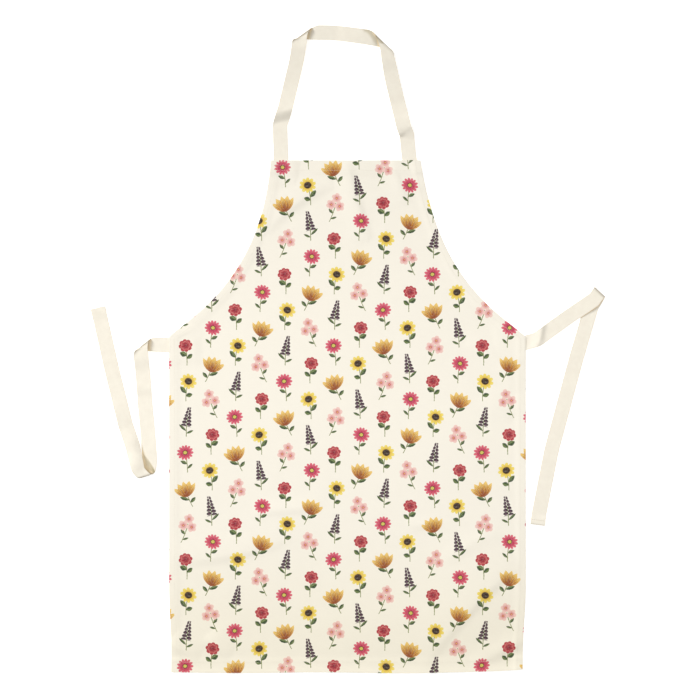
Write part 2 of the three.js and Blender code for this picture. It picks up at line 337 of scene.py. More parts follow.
def smooth(piece, degrees):
    """Smooth shading, with edges kept sharp past an angle."""
    deselect()
    piece.select_set(True)
    bpy.context.view_layer.objects.active = piece
    bpy.ops.object.shade_smooth_by_angle(angle=math.radians(degrees))


def body_stations():
    """Rows from the turned foot hem to the turned bib hem, and columns from the left hem to the right."""
    end = hem_steps(END_HEM)
    side = hem_steps(SIDE_HEM)
    start, stop = end[-1][0] + GRID, BODY_LENGTH - end[-1][0] - GRID
    count = round((stop - start) / GRID)
    rows = [(inset, wrap, "foot") for inset, wrap in end]
    rows += [(start + (stop - start) * step / count, 0.0, "middle") for step in range(count + 1)]
    rows += [(BODY_LENGTH - inset, wrap, "bib") for inset, wrap in reversed(end)]
    return rows, side


def body_points():
    """Where each vertex of the body lies, and its place on the flat cut cloth."""
    rows, side = body_stations()
    height = np.array([row[0] for row in rows])[:, None]
    row_wrap = np.array([row[1] for row in rows])[:, None]
    half, slant = half_width(height), edge_slant(height)
    inset = np.array([step[0] for step in side])
    wrap = np.array([step[1] for step in side])
    inner = round(2 * (HALF_WAIST - inset[-1]) / GRID)
    left = -half + inset * slant
    across = -left[:, -1:] * np.linspace(-1, 1, inner + 1)[None, 1:-1]
    x = np.hstack([left, across, -left[:, ::-1]])
    y = np.broadcast_to(height, x.shape)
    plain = np.zeros(inner - 1)
    column_wrap = np.concatenate([wrap, plain, wrap[::-1]])[None, :]
    from_side = (half - abs(x)) / slant
    side_hem = np.where(column_wrap > 0, 1, hem_share(from_side, SIDE_HEM))
    from_end = np.minimum(height, BODY_LENGTH - height)
    end_hem = np.where(row_wrap > 0, 1, hem_share(from_end, END_HEM))
    face = (side_hem + end_hem + side_hem * end_hem) * (1 - column_wrap) + 2 * end_hem * column_wrap
    behind = column_wrap * np.ones_like(row_wrap)
    layers = face * (1 - row_wrap) + behind * row_wrap
    z = lay(x, y) + CLOTH / 2 + LAYER * layers
    points = settled(x, y, z)
    turned_x = np.sign(x) * (2 * half - abs(x))
    turned_y = np.where(height < BODY_LENGTH / 2, -height, 2 * BODY_LENGTH - height)
    flat_x = np.where(column_wrap > 0.5, turned_x, x)
    flat_y = np.where(row_wrap > 0.5, turned_y, height) * np.ones_like(x)
    return points, np.stack([flat_x, flat_y], axis=-1)


class Shade:
    """A value inside a material. Arithmetic adds Math nodes, and any other node comes from node()."""

    def __init__(self, tree, socket=None):
        self.tree = tree
        self.socket = socket

    def node(self, kind, settings=None, sockets=None, output=0):
        made = self.tree.nodes.new(kind)
        for key, value in (settings or {}).items():
            if key == "stops":
                ramp = made.color_ramp
                for place, colour in value[2:]:
                    ramp.elements.new(place)
                for stop, (place, colour) in zip(ramp.elements, value):
                    stop.position = place
                    stop.color = colour
            elif key == "interpolation":
                made.color_ramp.interpolation = value
            else:
                setattr(made, key, value)
        for key, value in (sockets or {}).items():
            if isinstance(value, Shade):
                self.tree.links.new(value.socket, made.inputs[key])
            else:
                made.inputs[key].default_value = value
        return Shade(self.tree, made.outputs[output])

    def math(self, operation, *others):
        return self.node("ShaderNodeMath", {"operation": operation}, dict(enumerate((self, *others))))

    def __add__(self, other):
        return self.math("ADD", other)

    __radd__ = __add__

    def __sub__(self, other):
        return self.math("SUBTRACT", other)

    def __rsub__(self, other):
        return self.node("ShaderNodeMath", {"operation": "SUBTRACT"}, {0: other, 1: self})

    def __mul__(self, other):
        return self.math("MULTIPLY", other)

    __rmul__ = __mul__

    def __truediv__(self, other):
        return self.math("DIVIDE", other)

    def __pow__(self, other):
        return self.math("POWER", other)

    def __abs__(self):
        return self.math("ABSOLUTE")

    def rise(self, low, high):
        """0 below low and 1 above high."""
        settings = {"interpolation_type": "SMOOTHSTEP"}
        return self.node("ShaderNodeMapRange", settings, {0: self, 1: low, 2: high, 3: 0.0, 4: 1.0})

    def mix(self, first, second):
        """first where this value is 0, second where it is 1."""
        return self.node("ShaderNodeMix", {"data_type": "RGBA"}, {0: self, 6: first, 7: second}, 2)


# The print's sprigs, in millimetres and degrees. A row is one flower: how its sprig leans, the bend of its
# stem, where its two leaves leave the stem, and how long and wide they are. Sprigs stand in columns, each
# dropped by half a repeat and mirrored.
COLUMN_PITCH = 43
ROW_PITCH = 62
SPRIGS = [
    {"flower": "pink daisy", "lean": -14, "bend": 5, "leaf": -9, "low": -17, "long": 13.5, "wide": 3},
    {"flower": "plum spike", "lean": 10, "bend": -4, "leaf": -14, "low": -18, "long": 17, "wide": 2.5},
    {"flower": "yellow daisy", "lean": 16, "bend": -6, "leaf": -10, "low": -15, "long": 15, "wide": 4.3},
    {"flower": "crimson rosette", "lean": -10, "bend": 4, "leaf": -7, "low": -12, "long": 14, "wide": 4.6},
    {"flower": "blossom cluster", "lean": 12, "bend": 6, "leaf": -8, "low": -18, "long": 12, "wide": 2.6},
    {"flower": "golden cup", "lean": -16, "bend": -5, "leaf": -11, "low": -16, "long": 16.5, "wide": 3.4},
]
SPRIG_RANGE = 40
HEAD_SCALE = 1.33
HEAD_RISE = 11
STEM_FOOT = -24
STEM_TOP = 12
STEM_LEVER = 38
STEM_HALF = 0.85
LEAF_ANGLE = 36
LOW_LEAF_ANGLE = 148
LOW_LEAF = 0.86
LEAF_VEINS = 6
INK_WANDER = 1.6
INK_FADE = 0.12
FACE_PRINT = 1.0
REVERSE_PRINT = 0.14
THREAD_PITCH = 0.62
SLUB_TONE = (0.96, 0.955, 0.945, 1)
CREAM = (0.83, 0.785, 0.685, 1)
# Painted shade: the cloth's colour is made warmer and darker in blue over the lowest part of the body.
FOOT_SHADE_TINT = (1, 0.99, 0.94, 1)
SHADE_TINT_BELOW = 280
STEM_GREEN = (0.20, 0.23, 0.07, 1)
LEAF_LIGHT = (0.135, 0.185, 0.06, 1)
LEAF_DARK = (0.045, 0.075, 0.03, 1)
PINK_DEEP = (0.46, 0.04, 0.09, 1)
PINK = (0.66, 0.115, 0.165, 1)
PLUM = (0.035, 0.020, 0.030, 1)
PLUM_LIGHT = (0.12, 0.06, 0.085, 1)
YELLOW = (0.80, 0.66, 0.13, 1)
YELLOW_DEEP = (0.66, 0.40, 0.05, 1)
BROWN = (0.045, 0.025, 0.015, 1)
CRIMSON = (0.46, 0.045, 0.06, 1)
CRIMSON_LIGHT = (0.64, 0.16, 0.15, 1)
CRIMSON_DARK = (0.22, 0.015, 0.03, 1)
BLUSH = (0.62, 0.27, 0.26, 1)
BLUSH_LIGHT = (0.78, 0.53, 0.47, 1)
GOLD = (0.62, 0.30, 0.05, 1)
GOLD_LIGHT = (0.80, 0.55, 0.15, 1)
RUST = (0.27, 0.07, 0.02, 1)


def lookup(kind, rows, column):
    """The value in one column of a table, at the row that kind picks."""
    stops = []
    for index, row in enumerate(rows):
        level = 0.5 + row[column] / (2 * SPRIG_RANGE)
        stops.append((index / len(rows), (level, level, level, 1)))
    settings = {"stops": stops, "interpolation": "CONSTANT"}
    level = kind.node("ShaderNodeValToRGB", settings, {0: (kind + 0.5) / len(rows)})
    return level * (2 * SPRIG_RANGE) - SPRIG_RANGE


def spread(x, y):
    """Distance from the origin."""
    return (x * x + y * y) ** 0.5


def petal_rim(x, y, count, radius, notch, turn=0.0):
    """How near the edge of a ring of petals lies, and how far a point is from the gaps between them."""
    lobe = abs((y.math("ARCTAN2", x) * (count / 2) + turn).math("COSINE"))
    return (lobe**0.6 * notch + (1 - notch)) * radius, lobe


def turned(x, y, angle):
    """The same point on axes turned by an angle, which is a value or a number in radians."""
    if isinstance(angle, Shade):
        c, s = angle.math("COSINE"), angle.math("SINE")
    else:
        c, s = math.cos(angle), math.sin(angle)
    return x * c + y * s, y * c - x * s


def blade(x, y, angle, length, width):
    """A pointed blade from the origin: its shape, the share gone along it, and the way off its midrib."""
    along, across = turned(x, y, math.radians(angle))
    share = along / length
    room = share * (1 - share) * (4 * width) - abs(across)
    return room.rise(0.0, 0.35), share, across


def leaf(paint, x, y, angle, length, width):
    """A leaf, darker on one side of its midrib and along its veins."""
    shape, share, across = blade(x, y, angle, length, width)
    vein = abs((share * LEAF_VEINS - abs(across) * 0.8).math("FRACT") - 0.5).rise(0.28, 0.5)
    green = (vein * 0.6).mix(across.rise(-0.25, 0.25).mix(LEAF_DARK, LEAF_LIGHT), LEAF_DARK)
    return shape.mix(paint, green)


def daisy(x, y, count, radius, eye_radius, outer, inner, eye_colour):
    """A flower seen from the front, with narrow petals round an eye."""
    reach = spread(x, y * 1.12)
    rim, lobe = petal_rim(x, y, count, radius, 0.34)
    colour = (reach / radius).rise(0.3, 0.95).mix(inner, outer)
    colour = (lobe.rise(0.0, 0.35) * -0.55 + 0.55).mix(colour, inner)
    colour = ((rim - reach).rise(0.2, 1.3) * -0.5 + 0.5).mix(colour, inner)
    ring = (eye_radius + 0.9 - reach).rise(0.0, 0.7)
    colour = ring.mix(colour, BROWN)
    grain = abs((x * 2.6).math("SINE") * (y * 2.6).math("SINE"))
    centre = (eye_radius - reach).rise(0.0, 0.6) * (grain * 0.5 + 0.5)
    return (rim - reach).rise(0.0, 0.5), centre.mix(colour, eye_colour)


def spike(x, y):
    """A tall spike of small dark florets in pairs up a stem."""
    length, base, floret_pitch = 27, 0.35, 4.4
    share = y / length + base
    width = (1 - share * 0.72) * 7.2
    side = x.math("SIGN")
    floret = (y / floret_pitch + side * 0.25).math("FRACT") - 0.5
    off = (abs(x) / width - 0.5) * 1.9
    room = 1.12 - off * off - floret * floret * 4.2
    inside = share.rise(0.0, 0.06) * (1 - share).rise(0.0, 0.06)
    colour = (room * (0.5 - floret)).rise(0.1, 0.8).mix(PLUM, PLUM_LIGHT)
    return room.rise(0.0, 0.3) * inside, colour


def rosette(x, y):
    """A full round flower: rings of petals, each smaller than the last."""
    reach = spread(x, y * 1.1)
    shape, colour = None, None
    for radius, count, turn in ((9.4, 8, 0.0), (7.0, 7, 0.7), (4.8, 6, 0.2), (2.7, 4, 0.9)):
        rim, lobe = petal_rim(x, y, count, radius, 0.2, turn)
        ring = (rim - reach).rise(0.0, 0.45)
        tone = (reach / rim).rise(0.5, 1.0)
        petal = tone.mix(CRIMSON_DARK, CRIMSON_LIGHT if count % 2 else CRIMSON)
        colour = petal if shape is None else ring.mix(colour, petal)
        shape = shape or ring
    return shape, colour


def cluster(x, y):
    """Three pale five-petalled blossoms close together."""
    apart, radius = 6.4, 6.9
    third = 2 * math.pi / 3
    around = y.math("ARCTAN2", x) - math.pi / 2
    sector = ((around / third + 0.5).math("FRACT") - 0.5) * third
    reach = spread(x, y)
    bx = reach * sector.math("COSINE") - apart
    by = reach * sector.math("SINE")
    rim, lobe = petal_rim(bx, by, 5, radius, 0.34)
    out = spread(bx, by)
    colour = (out / radius).rise(0.1, 0.8).mix(BLUSH, BLUSH_LIGHT)
    colour = (lobe.rise(0.0, 0.4) * -0.5 + 0.5).mix(colour, PINK)
    colour = (1.7 - out).rise(0.0, 0.5).mix(colour, PINK_DEEP)
    colour = (0.8 - out).rise(0.0, 0.3).mix(colour, YELLOW)
    return (rim - out).rise(0.0, 0.4), colour


def cup(x, y):
    """An open cup of five long petals seen from the side."""
    petal_length, base = 21.5, -10
    cover, colour = None, None
    for angle, width in ((134, 3.6), (46, 3.6), (112, 4.6), (68, 4.6), (90, 4.2)):
        shape, share, across = blade(x, y - base, angle, petal_length, width)
        streak = abs((across * 1.7).math("SINE")) * 0.3
        petal = (share - streak).rise(0.1, 0.75).mix(RUST, GOLD_LIGHT)
        petal = (abs(across) / width).rise(0.35, 0.95).mix(petal, GOLD)
        colour = petal if cover is None else shape.mix(colour, petal)
        cover = shape if cover is None else cover.math("MAXIMUM", shape)
    return cover, colour


def sprig_print(start, strength):
    """The colour of the printed cloth at each point of the cut."""
    cut = start.node("ShaderNodeUVMap", {"uv_map": "cut"})
    split = cut.node("ShaderNodeSeparateXYZ", None, {0: cut}).socket.node
    u = Shade(start.tree, split.outputs[0]) * 1000
    v = Shade(start.tree, split.outputs[1]) * 1000
    column = (u / COLUMN_PITCH).math("FLOOR")
    lane = v / ROW_PITCH + column * 0.5
    row = lane.math("FLOOR")
    kind = (column * 2 + row).math("FLOORED_MODULO", float(len(SPRIGS)))
    mirror = 1 - column.math("FLOORED_MODULO", 2.0) * 2
    x = (u - (column + 0.5) * COLUMN_PITCH) * mirror
    y = (lane - row - 0.5) * ROW_PITCH
    x, y = turned(x, y, lookup(kind, SPRIGS, "lean") * (math.pi / 180))

    place = x.node("ShaderNodeCombineXYZ", None, {0: x, 1: y, 2: kind * 40})
    wash = place.node("ShaderNodeTexNoise", None, {"Vector": place, "Scale": 0.35, "Detail": 2.0})
    x = x + (wash - 0.5) * INK_WANDER
    stem_line = (y - STEM_TOP) / STEM_LEVER
    stem_x = stem_line * stem_line * lookup(kind, SPRIGS, "bend")
    stem = (STEM_HALF - abs(x - stem_x)).rise(0.0, 0.4)
    stem = stem * (y - STEM_FOOT).rise(0.0, 1.0) * (STEM_TOP - y).rise(0.0, 1.0)
    paint = stem.mix(CREAM, STEM_GREEN)
    leaf_y = lookup(kind, SPRIGS, "leaf")
    low_y = lookup(kind, SPRIGS, "low")
    long, wide = lookup(kind, SPRIGS, "long"), lookup(kind, SPRIGS, "wide")
    paint = leaf(paint, x - stem_x, y - leaf_y, LEAF_ANGLE, long, wide)
    paint = leaf(paint, x - stem_x, y - low_y, LOW_LEAF_ANGLE, long * LOW_LEAF, wide * LOW_LEAF)

    x, y = x / HEAD_SCALE, (y - HEAD_RISE) / HEAD_SCALE
    heads = [
        daisy(x, y, 13, radius=11.2, eye_radius=2.7, outer=PINK, inner=PINK_DEEP, eye_colour=YELLOW),
        spike(x, y + 4),
        daisy(x, y, 10, radius=11.4, eye_radius=4.4, outer=YELLOW, inner=YELLOW_DEEP, eye_colour=BROWN),
        rosette(x, y),
        cluster(x, y),
        cup(x, y + 2),
    ]
    for index, (shape, colour) in enumerate(heads):
        chosen = kind.math("COMPARE", float(index), 0.4)
        paint = (shape * chosen).mix(paint, colour)
    faded = (wash.rise(0.35, 0.8) * INK_FADE).mix(paint, CREAM)
    return faded.node("ShaderNodeMix", {"data_type": "RGBA"}, {0: strength, 6: CREAM, 7: faded}, 2), u, v


def cotton(name, strength):
    """Plain-woven cotton with its print at a given strength: matt, with a fine thread and a soft nap, and
    painted shade that makes it warmer and darker in blue towards the foot.
    """
    finish = bpy.data.materials.new(name)
    finish.use_nodes = True
    tree = finish.node_tree
    surface = tree.nodes["Principled BSDF"]
    paint, u, v = sprig_print(Shade(tree), strength)
    thread = 2 * math.pi / THREAD_PITCH
    over = (u * thread).math("SINE") * (v * thread).math("SINE")
    slub_place = u.node("ShaderNodeCombineXYZ", None, {0: u * 0.05, 1: v * 1.3, 2: 0.0})
    slub = u.node("ShaderNodeTexNoise", None, {"Vector": slub_place, "Scale": 1.0, "Detail": 2.0})
    multiply = {"data_type": "RGBA", "blend_type": "MULTIPLY"}
    uneven = (slub * 0.4 + 0.3).rise(0.2, 0.8).mix(SLUB_TONE, WHITE)
    # Painted shade towards the foot hem, warmer and darker in blue.
    foot_shade = ((SHADE_TINT_BELOW - v) / SHADE_TINT_BELOW).rise(0.0, 0.9).mix(WHITE, FOOT_SHADE_TINT)
    tone = paint.node("ShaderNodeMix", multiply, {0: 1.0, 6: paint, 7: uneven}, 2)
    tone = tone.node("ShaderNodeMix", multiply, {0: 1.0, 6: tone, 7: foot_shade}, 2)
    tree.links.new(tone.socket, surface.inputs["Base Color"])
    weave = over * 0.5 + slub * 0.8
    bump = weave.node("ShaderNodeBump", None, {"Strength": 0.12, "Distance": 0.0004, "Height": weave})
    tree.links.new(bump.socket, surface.inputs["Normal"])
    surface.inputs["Roughness"].default_value = 0.92
    surface.inputs["Specular IOR Level"].default_value = 0.2
    surface.inputs["Sheen Weight"].default_value = 0.08
    surface.inputs["Sheen Roughness"].default_value = 0.5
    return finish


points, cut = body_points()
body = cloth_grid("printed_body", points.shape[1], points.shape[0])
lay_out(body, points, cut)
body.data.materials.append(cotton("printed_cotton_face", FACE_PRINT))
body.data.materials.append(cotton("printed_cotton_reverse", REVERSE_PRINT))
apply_modifier(body, "SOLIDIFY", thickness=CLOTH, offset=0, material_offset=1)
smooth(body, degrees=50)
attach(body, "root")
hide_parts("apron_body")

# The hem stitching: one row of lock stitch in cream thread along every hem, and a short block at each tape.
# A stitch is a small rounded strand, sunk a little into the cloth.
STITCH_LENGTH = 2.5 * MM
STITCH_PITCH = 3.1 * MM
STITCH_WIDTH = 0.5 * MM
STITCH_HEIGHT = 0.34 * MM
HEM_ROW_MARGIN = 2 * MM
SIDE_ROW_POINTS = 420
END_ROW_POINTS = 260
SEAT_ROW_MARGIN = 1 * MM
SEAT_ROW_INSETS = (2.2 * MM, SIDE_HEM - STITCH_INSET - 1.2 * MM)
SEAT_ROW_POINTS = 12
THREAD_CREAM = [(0.72, 0.67, 0.56, 1), (0.80, 0.75, 0.64, 1)]


def face_height(x, y):
    """Height of the top of the cloth at points given from the middle of the foot hem."""
    side = hem_share((half_width(y) - abs(x)) / edge_slant(y), SIDE_HEM)
    end = hem_share(np.minimum(y, BODY_LENGTH - y), END_HEM)
    return lay(x, y) + CLOTH + LAYER * (side + end + side * end)


def spaced(line, pitch):
    """Points at an even pitch along a line, and the direction of the line at each."""
    line = np.asarray(line, float)
    gone = np.concatenate([[0], np.cumsum(np.linalg.norm(np.diff(line, axis=0), axis=1))])
    count = max(2, round(gone[-1] / pitch))
    stops = (np.arange(count) + 0.5) * gone[-1] / count
    ahead = np.stack([np.interp(stops + pitch / 4, gone, part) for part in line.T], axis=1)
    back = np.stack([np.interp(stops - pitch / 4, gone, part) for part in line.T], axis=1)
    run = ahead - back
    return (ahead + back) / 2, run / np.linalg.norm(run, axis=1, keepdims=True)


def one_stitch():
    """The corners and faces of one stitch, lying along X."""
    deselect()
    bpy.ops.mesh.primitive_uv_sphere_add(segments=6, ring_count=4, radius=0.5)
    strand = bpy.context.object
    bpy.ops.transform.resize(value=(STITCH_LENGTH, STITCH_WIDTH, STITCH_HEIGHT))
    bpy.ops.object.transform_apply(location=True, rotation=True, scale=True)
    corners = np.array([corner.co for corner in strand.data.vertices])
    faces = [list(face.vertices) for face in strand.data.polygons]
    bpy.ops.object.delete()
    return corners, faces


STITCH_CORNERS, STITCH_FACES = one_stitch()


def thread_finish(name, tones):
    """Matt sewing thread with a fine twist, in a dark and a light tone."""
    finish = bpy.data.materials.new(name)
    finish.use_nodes = True
    tree = finish.node_tree
    surface = tree.nodes["Principled BSDF"]
    place = Shade(tree).node("ShaderNodeTexCoord", None, None, 3)
    fleck = place.node("ShaderNodeTexNoise", None, {"Vector": place, "Scale": 2600.0, "Detail": 1.0})
    tree.links.new(fleck.mix(*tones).socket, surface.inputs["Base Color"])
    bump = fleck.node("ShaderNodeBump", None, {"Strength": 0.3, "Distance": 0.0001, "Height": fleck})
    tree.links.new(bump.socket, surface.inputs["Normal"])
    surface.inputs["Roughness"].default_value = 0.8
    surface.inputs["Specular IOR Level"].default_value = 0.25
    return finish


def sew(name, lines, thread):
    """A piece made of stitches along lines that lie on the cloth."""
    corners, faces = [], []
    for line in lines:
        for place, run in zip(*spaced(line, STITCH_PITCH)):
            side = np.cross((0, 0, 1), run)
            side = side / np.linalg.norm(side)
            turn = np.array([run, side, np.cross(run, side)])
            start = len(corners) * len(STITCH_CORNERS)
            corners.append(STITCH_CORNERS @ turn + place)
            faces += [[start + corner for corner in face] for face in STITCH_FACES]
    mesh = bpy.data.meshes.new(name)
    mesh.from_pydata(np.concatenate(corners).tolist(), [], faces)
    mesh.materials.append(thread)
    stitches = bpy.data.objects.new(name, mesh)
    bpy.context.collection.objects.link(stitches)
    smooth(stitches, degrees=80)
    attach(stitches, "root")
    return stitches


def on_face(x, y):
    """Points on top of the cloth, in the frame, from points measured from the middle of the foot hem."""
    x, y = np.broadcast_arrays(np.asarray(x, float), np.asarray(y, float))
    return settled(x, y, face_height(x, y))


def hem_lines():
    """The stitch rows round the body."""
    run = np.linspace(HEM_ROW_MARGIN, BODY_LENGTH - HEM_ROW_MARGIN, SIDE_ROW_POINTS)
    side = half_width(run) - (SIDE_HEM - STITCH_INSET) * edge_slant(run)
    lines = [on_face(-side, run), on_face(side, run)]
    for height in (END_HEM - STITCH_INSET, BODY_LENGTH - END_HEM + STITCH_INSET):
        reach = half_width(np.array(height)) - HEM_ROW_MARGIN
        across = np.linspace(-reach, reach, END_ROW_POINTS)
        lines.append(on_face(across, np.full_like(across, height)))
    return lines


def seat_lines():
    """Two short rows across each sewn tape end, where the tape is caught into the hem."""
    lines = []
    half = TAPE_WIDTH / 2 - SEAT_ROW_MARGIN
    reach = np.linspace(-half, half, SEAT_ROW_POINTS)
    for seat_x, seat_y in SEATS:
        for inset in SEAT_ROW_INSETS:
            if seat_y * MM > WAIST_HEIGHT:
                lines.append(on_face(seat_x * MM + reach, np.full_like(reach, BODY_LENGTH - inset)))
            else:
                edge = np.sign(seat_x) * (half_width(seat_y * MM + reach) - inset)
                lines.append(on_face(edge, seat_y * MM + reach))
    return lines


CREAM_THREAD = thread_finish("cream_thread", THREAD_CREAM)
hem_stitches = sew("hem_stitches", hem_lines() + seat_lines(), CREAM_THREAD)


# The neck strap and the two waist ties: three lengths of one-inch cotton tape, sewn behind the corners of the
# bib and of the waist. They lie loosely folded on the table, and a free end is turned under and stitched.
TAPE = 0.9 * MM

# A buckle is a ridge across the tape, some way past a point of its route, in millimetres: how high it rises
# at the tape's left and right edges, how far it runs before and after its crest, and the slant of the crest.
# Round and soft shape its sides, and a crown falls away to both edges.
NECK_LEFT_KINK = {
    "rise": (7.4, 8.6), "before": 20, "after": 130, "slant": -7.5, "past": 25, "round": 1.5, "soft": 1.5,
}
NECK_TOP_KINK = {"rise": (2.4, 4), "before": 60, "after": 14, "slant": 0, "past": 37, "round": 2, "soft": 1}
NECK_RIGHT_KINK = {
    "rise": (5.6, 5.8), "before": 45, "after": 22, "slant": 2, "past": -3, "round": 2, "soft": 2,
}
RIGHT_TIE_KINK = {
    "rise": (4, 2.6), "before": 25, "after": 14, "slant": 12, "past": 7, "round": 1, "soft": 1.6,
}
LOOP_CROWN = {
    "rise": (2.6, 2.6), "before": 32, "after": 60, "slant": 0, "past": -22, "round": 2, "soft": 2, "crown": 1,
}

# The routes, in millimetres. A row is a point on the tape's middle line and how high its underside is lifted
# there: one height, or one for its left edge and one for its right. A bend is spread over its reach.
# A turn folds the tape over or under itself: one length ends at a point, the next starts from another, and
# each edge goes round a pull. Snap is how quickly it climbs, corner keeps one edge near its pull, and cup
# narrows the next length. Rim is the strength and width of a painted shade line, in brown, along a fold's
# edge, rim_span the share of the edge that has it, and rim_from the share of the rise above which it shows.
# Hollow_shade is the strength of the painted shade inside a fold, and its depth at each edge of the tape.
NECK_ROUTE = [
    {"at": (-115, 872), "lift": 0.1},
    {"at": (-115.6, 902), "lift": 0.1},
    {"at": (-117.4, 952.6), "lift": 0.4, "reach": 6, "buckle": NECK_LEFT_KINK},
    {"at": (-108, 979.5), "lift": (1.2, 0.8), "reach": 4},
    {"at": (-88.2, 1062.3), "lift": (6.2, 2.9)},
    {
        "at": (-82.8, 1097.9), "to": (-51.2, 1113.4), "turn": "under",
        "rise": (4.6, 5.6), "pulls": [(-90.8, 1102), (-72, 1120.6)], "snap": 7,
        "rim": (1, 3.4), "rim_span": (0.15, 2),
    },
    {"at": (-22, 1113), "lift": 0},
    {"at": (5, 1109.4), "lift": 0, "buckle": NECK_TOP_KINK},
    {
        "at": (31, 1105.4), "to": (70.2, 1071), "turn": "over",
        "rise": (3.4, 4.2), "pulls": [(78.8, 1084.6), (54.4, 1116.8)], "corner": 9, "cup": 0.9,
        "rim": (0.5, 2.8), "rim_span": (-1, 0.8), "hollow": (0.3, 15, 7),
    },
    {"at": (78.1, 1031), "lift": (1.6, 2.2)},
    {"at": (98.8, 945.6), "lift": 0.4, "reach": 4, "buckle": NECK_RIGHT_KINK},
    {"at": (103.4, 936.4), "lift": 0.3, "reach": 4},
    {"at": (106.6, 902), "lift": 0.1},
    {"at": (110.7, 872), "lift": 0.1},
]
LEFT_ROUTE = [
    {"at": (-290, 569.3), "lift": 0.1},
    {"at": (-318, 569.8), "lift": 0.1, "reach": 4},
    {
        "at": (-334.8, 570.6), "to": (-358.8, 555.1), "turn": "over",
        "rise": (5.2, 6), "pulls": [(-368.5, 561.5), (-349.9, 583.1)], "snap": 7, "rim": (0.9, 3.4),
    },
    {"at": (-354.5, 508), "lift": (2, 2.6)},
    {"at": (-351.8, 465.8), "lift": (0.2, 1)},
    {"at": (-346.4, 410.3), "lift": (0, 1)},
    {
        "at": (-343.8, 372), "to": (-363.3, 354.1), "turn": "over",
        "rise": (9, 8), "pulls": [(-352.2, 317.6), (-331.2, 328.7)], "corner": 90, "snap": 5,
        "cup": 0.9, "rim": (0.6, 2.6), "rim_from": 0, "hollow": (0.8, 44, 2),
    },
    {"at": (-373, 395), "lift": (7.4, 3), "reach": 2, "buckle": LOOP_CROWN},
    {"at": (-385.4, 430.7), "lift": (5, 1.4), "reach": 2},
    {"at": (-407.5, 517.7), "lift": (0.8, 0.2)},
    {"at": (-428.4, 610), "lift": 0, "reach": 2},
    {"at": (-431.9, 625.5), "lift": 0.9, "reach": 1},
    {"at": (-433.9, 633.9), "to": (-433.9, 633.9), "turn": "under", "rise": (1, 1), "rim": (0, 1)},
    {"at": (-431.9, 625.4), "lift": 0},
]
RIGHT_ROUTE = [
    {"at": (288, 570), "lift": 0.1},
    {"at": (312, 574.2), "lift": 0.1, "reach": 6},
    {"at": (330, 579.2), "lift": 0.4, "reach": 7, "buckle": RIGHT_TIE_KINK},
    {"at": (379, 614.8), "lift": 0.8},
    {
        "at": (429, 649), "to": (424.4, 636), "turn": "under",
        "rise": (2.4, 2.8), "pulls": [(442.3, 689.4), (459.7, 671.8)], "corner": 90, "rim": (0.7, 3.2),
    },
    {"at": (397.4, 543.8), "lift": 0},
    {"at": (355.2, 387.2), "lift": 0},
    {"at": (333.4, 276.8), "lift": 0.1, "reach": 1},
    {"at": (331.9, 266.2), "lift": 1, "reach": 1},
    {"at": (330.8, 257.8), "to": (330.8, 257.8), "turn": "under", "rise": (1, 1), "rim": (0.25, 1.6)},
    {"at": (332, 267.3), "lift": 0},
]
TAPE_STEP = 3 * MM
TAPE_COLUMNS = 13
BEND_REACH = 12
BEND_STEPS = 7
TURN_STEPS = 25
CORNER = 4
SNAP = 3.4
CREST_RANGE = (0.26, 0.74)
RIM_REACH = 40 * MM
RIM_BINS = 20
RIM_FROM = 0.4
RIM_FADE = 0.2
HOLLOW_EDGE = 4 * MM
CREASE_REACH = 9 * MM
FOLD_MARGIN = 2 * MM
RIPPLE = 0.16 * MM
RIPPLE_PITCH = 34 * MM
RIPPLE_ACROSS = 0.6
RIPPLE_MEAN = 0.5
RIPPLE_SLICE = 100
END_ROW_INSET = 8.5 * MM
END_ROW_SPAN = (0.06, 0.94)
END_ROW_STOPS = 8
ROOF_REACH = 60 * MM
ROOF_RINGS = ((0.25, 5), (0.55, 9), (0.8, 10), (0.93, 10))
TAPE_CREAM = [(0.80, 0.745, 0.635, 1), (0.83, 0.78, 0.67, 1)]
SELVAGE_TONE = (0.74, 0.68, 0.56, 1)
SELVAGE_FROM = 11.6
# Colours of painted shade on the tape: tan and deep brown where other tape roofs it over inside a fold, olive
# in a fold's hollow, and brown in a line along a fold's edge.
FOLD_SHADE_TAN = (0.88, 0.73, 0.50, 1)
FOLD_SHADE_DEEP = (0.52, 0.38, 0.20, 1)
HOLLOW_SHADE_OLIVE = (0.42, 0.355, 0.205, 1)
RIM_SHADE_BROWN = (0.30, 0.26, 0.19, 1)
# The right tie's end stitches are real thread, and their darker tan is painted shade where the stitches sink
# into the tape.
THREAD_SHADE_TAN = [(0.42, 0.35, 0.24, 1), (0.52, 0.45, 0.33, 1)]
UP = np.array((0.0, 0.0, 1.0))


def heading(start, end):
    """Direction on the table from one point to another."""
    run = np.array((end[0] - start[0], end[1] - start[1], 0.0))
    return run / np.linalg.norm(run)


